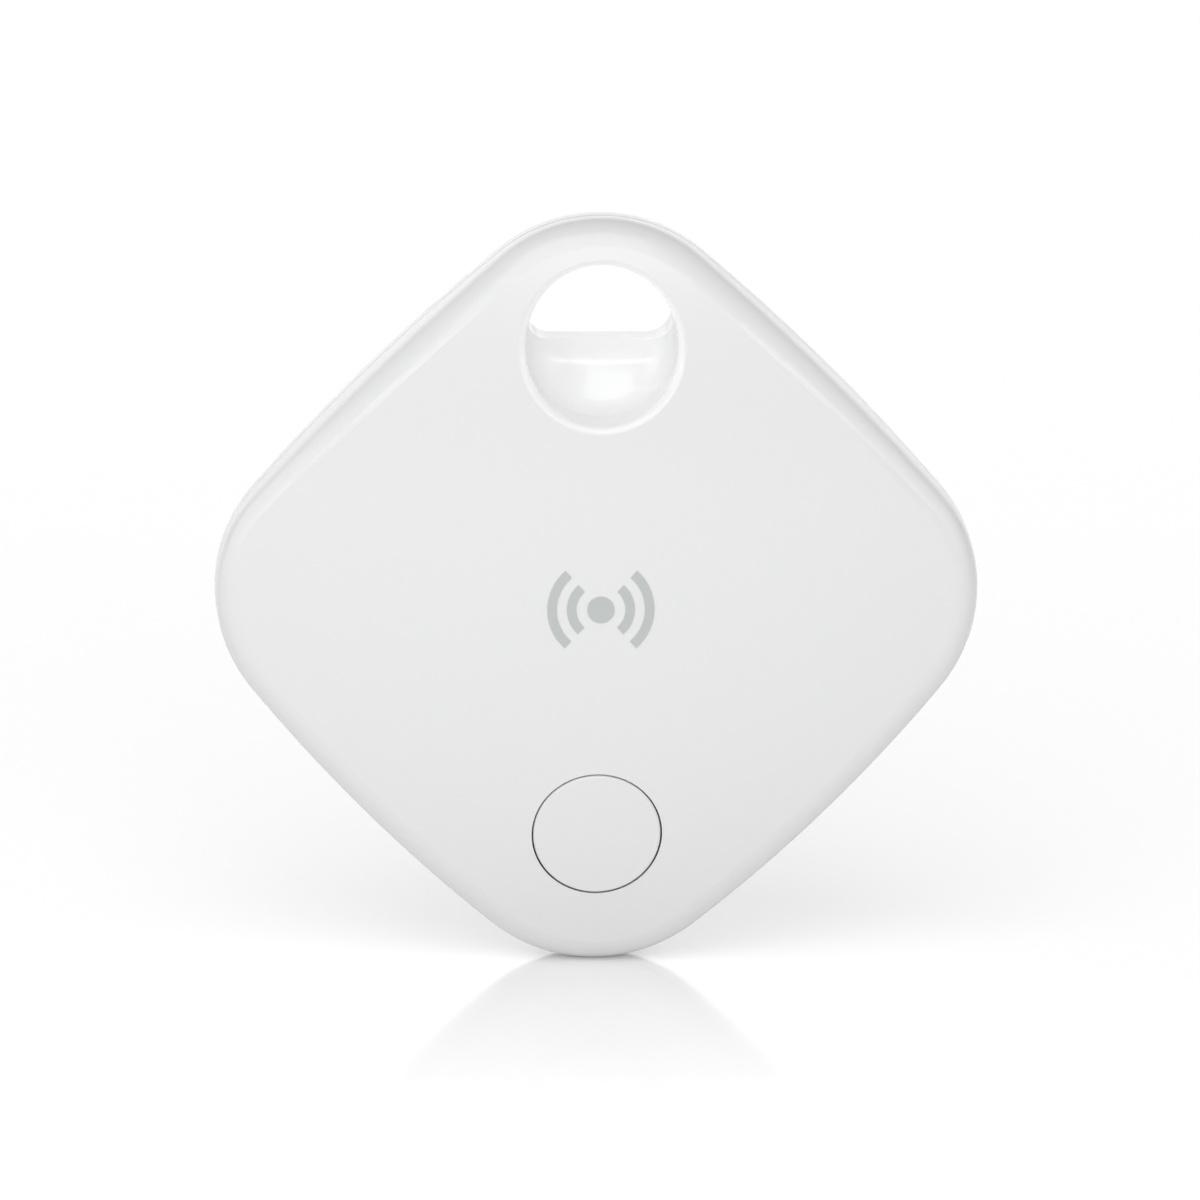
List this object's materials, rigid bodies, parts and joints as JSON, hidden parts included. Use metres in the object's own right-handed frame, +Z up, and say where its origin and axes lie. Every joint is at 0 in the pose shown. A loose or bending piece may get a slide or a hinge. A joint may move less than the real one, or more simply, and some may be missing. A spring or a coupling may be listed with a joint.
{
  "type": "bluetooth tracker tag",
  "caption": "Diamond-shaped white bluetooth tracker tag with a key ring slot, a scooped recess, a round press button, a pull-off back cover and a coin cell.",
  "frame": {"origin": "axis of the key ring slot's arch, in the seam plane between the covers", "axes": "+Z up as the tag hangs, -Y out of the domed face, +Y out of the flat back, +X to the right seen from the face"},
  "size_m": [0.045, 0.0076, 0.045],
  "materials": {
    "shell_white": "fine satin moulded ABS",
    "mark_ink": "pad-printed grey ink",
    "black_resin": "moulded black resin",
    "tin_plate": "bright tin plate",
    "spring_steel": "rolled spring steel",
    "solder_mask": "green solder mask on glass-fibre laminate",
    "screw_steel": "zinc-plated steel",
    "nickel_lid": "nickel-plated lid",
    "antenna_ceramic": "white antenna ceramic",
    "capacitor_ceramic": "tan ceramic with tinned ends",
    "resistor_body": "black glaze with tinned ends",
    "ferrite": "dark grey ferrite",
    "gold_plate": "immersion gold",
    "tray_plastic": "natural moulded ABS",
    "contact_plate": "nickel-plated phosphor bronze",
    "cell_steel": "rolled stainless steel",
    "nylon": "natural nylon",
    "cathode_mix": "pressed manganese dioxide",
    "separator_felt": "non-woven felt",
    "lithium": "dull lithium foil",
    "brass_sheet": "rolled brass",
    "piezo_silver": "silvered piezo ceramic",
    "adhesive": "black adhesive ring",
    "red_insulation": "red silicone insulation",
    "black_insulation": "black silicone insulation",
    "solder": "bright solder"
  },
  "bodies": {
    "case": {"front_cover": "shell_white", "face_mark": "mark_ink", "switch_base": "black_resin", "switch_terminals": "tin_plate", "switch_dome": "spring_steel", "switch_frame": "spring_steel", "circuit_board": "solder_mask", "board_screws": "screw_steel", "bluetooth_chip": "black_resin", "main_crystal": "nickel_lid", "clock_crystal": "nickel_lid", "chip_antenna": "antenna_ceramic", "capacitors": "capacitor_ceramic", "resistors": "resistor_body", "inductors": "ferrite", "buzzer_transistor": "black_resin", "test_pads": "gold_plate", "battery_tray": "tray_plastic", "negative_contact": "contact_plate", "positive_contact": "contact_plate", "piezo_brass_disc": "brass_sheet", "piezo_ceramic": "piezo_silver", "piezo_adhesive": "adhesive", "piezo_wire_red": "red_insulation", "piezo_wire_black": "black_insulation", "solder_joints": "solder"},
    "button": {"button_cap": "shell_white", "switch_plunger": "black_resin"},
    "rear_cover": {"back_cover": "shell_white"},
    "coin_cell": {"cell_can": "cell_steel", "cell_cap": "cell_steel", "cell_gasket": "nylon", "cell_cathode": "cathode_mix", "cell_separator": "separator_felt", "cell_anode": "lithium"}
  },
  "joints": [
    {"name": "button_press", "type": "slide", "parent": "case", "child": "button", "axis": [0, 1, 0], "range_m": [0, 0.0002], "stiffness_N_per_m": 4000, "deforming": ["switch_dome"]},
    {"name": "cover_removal", "type": "slide", "parent": "case", "child": "rear_cover", "axis": [0, 1, 0], "range_m": [0, 0.024]},
    {"name": "cell_removal", "type": "slide", "parent": "case", "child": "coin_cell", "axis": [0, 1, 0], "range_m": [0, 0.012]}
  ],
  "couplings": [
    {"joint": "cell_removal", "follows": "cover_removal", "ratio": 0.5}
  ]
}
